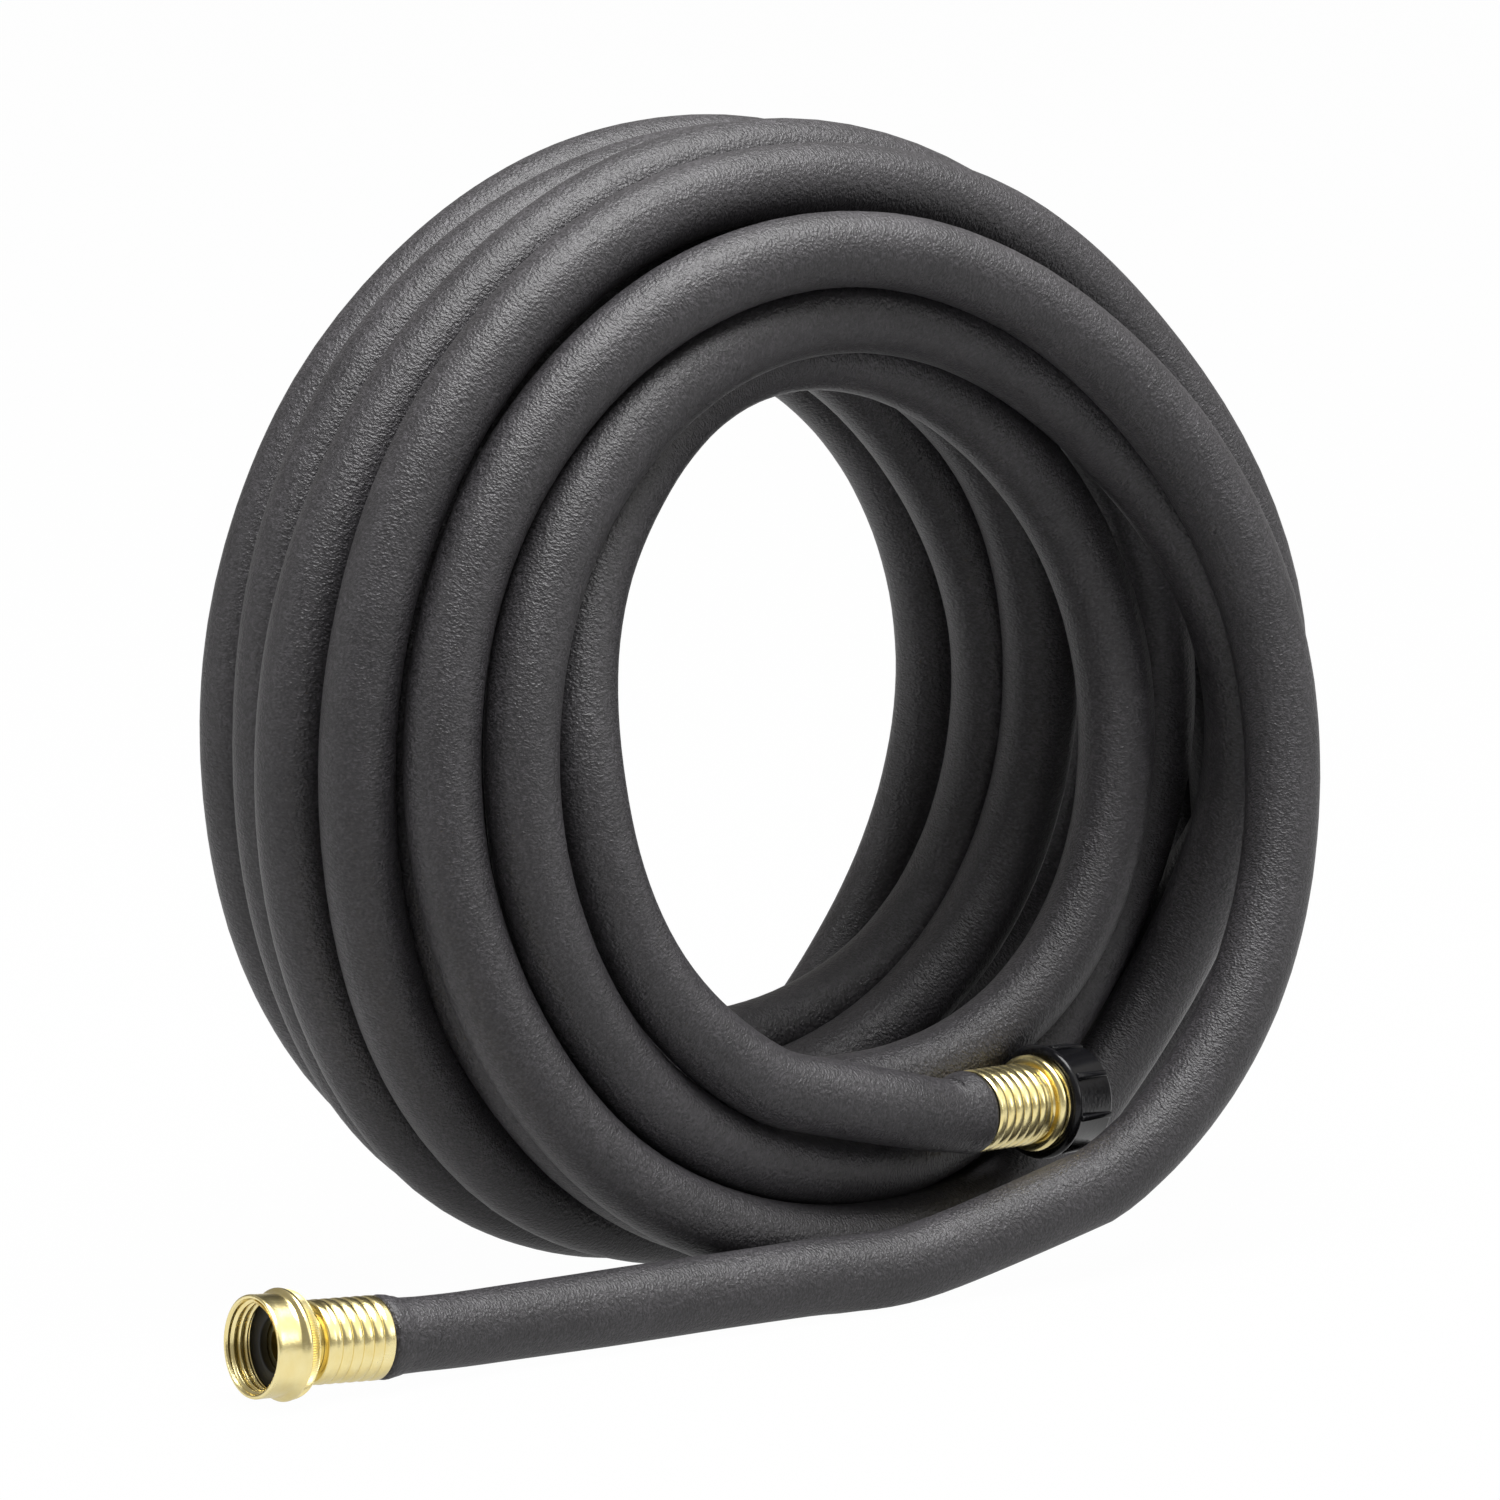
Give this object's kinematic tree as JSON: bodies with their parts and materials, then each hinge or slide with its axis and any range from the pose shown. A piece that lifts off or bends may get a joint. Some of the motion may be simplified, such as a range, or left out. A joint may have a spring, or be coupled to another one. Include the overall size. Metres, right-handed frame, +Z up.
{
  "type": "soaker hose",
  "caption": "Porous rubber soaker hose coiled on edge, with crimped brass ends, a swivel inlet nut and a screw-on end cap.",
  "frame": {"origin": "centre of the whole object's box in plan, on the floor that the coil stands on", "axes": "+X away from the inlet end, across the coil; +Y from the front of the coil to its back, along the coil's own axis; +Z up"},
  "size_m": [0.4076, 0.185, 0.3412],
  "materials": {
    "hose_rubber": "matte",
    "brass": "polished",
    "cap_plastic": "gloss",
    "washer_rubber": "matte"
  },
  "bodies": {
    "hose": {"hose_coil": "hose_rubber", "hose_front_turns": "hose_rubber", "hose_inner_turn": "hose_rubber", "hose_inlet_end": "hose_rubber", "hose_outlet_end": "hose_rubber", "inlet_ferrule": "brass", "inlet_stem": "brass", "outlet_ferrule": "brass", "outlet_fitting": "brass"},
    "swivel_nut": {"inlet_swivel_nut": "brass", "inlet_washer": "washer_rubber"},
    "cap_carriage": {"end_cap_washer": "washer_rubber"},
    "end_cap": {"end_cap": "cap_plastic"}
  },
  "joints": [
    {"name": "nut_swivel", "type": "hinge", "parent": "hose", "child": "swivel_nut", "pos_m": [-0.18963, -0.07633, 0.01611], "axis": [-0.998, 0, 0.0628], "continuous": true},
    {"name": "cap_travel", "type": "slide", "parent": "hose", "child": "cap_carriage", "axis": [0.9726, 0.2245, -0.061], "range_m": [0, 0.00884]},
    {"name": "cap_turn", "type": "hinge", "parent": "cap_carriage", "child": "end_cap", "pos_m": [0.09842, -0.04215, 0.0462], "axis": [0.9726, 0.2245, -0.061], "range_deg": [0, 1440]}
  ],
  "couplings": [
    {"joint": "cap_travel", "follows": "cap_turn", "m_per_rad": 0.00035152}
  ]
}
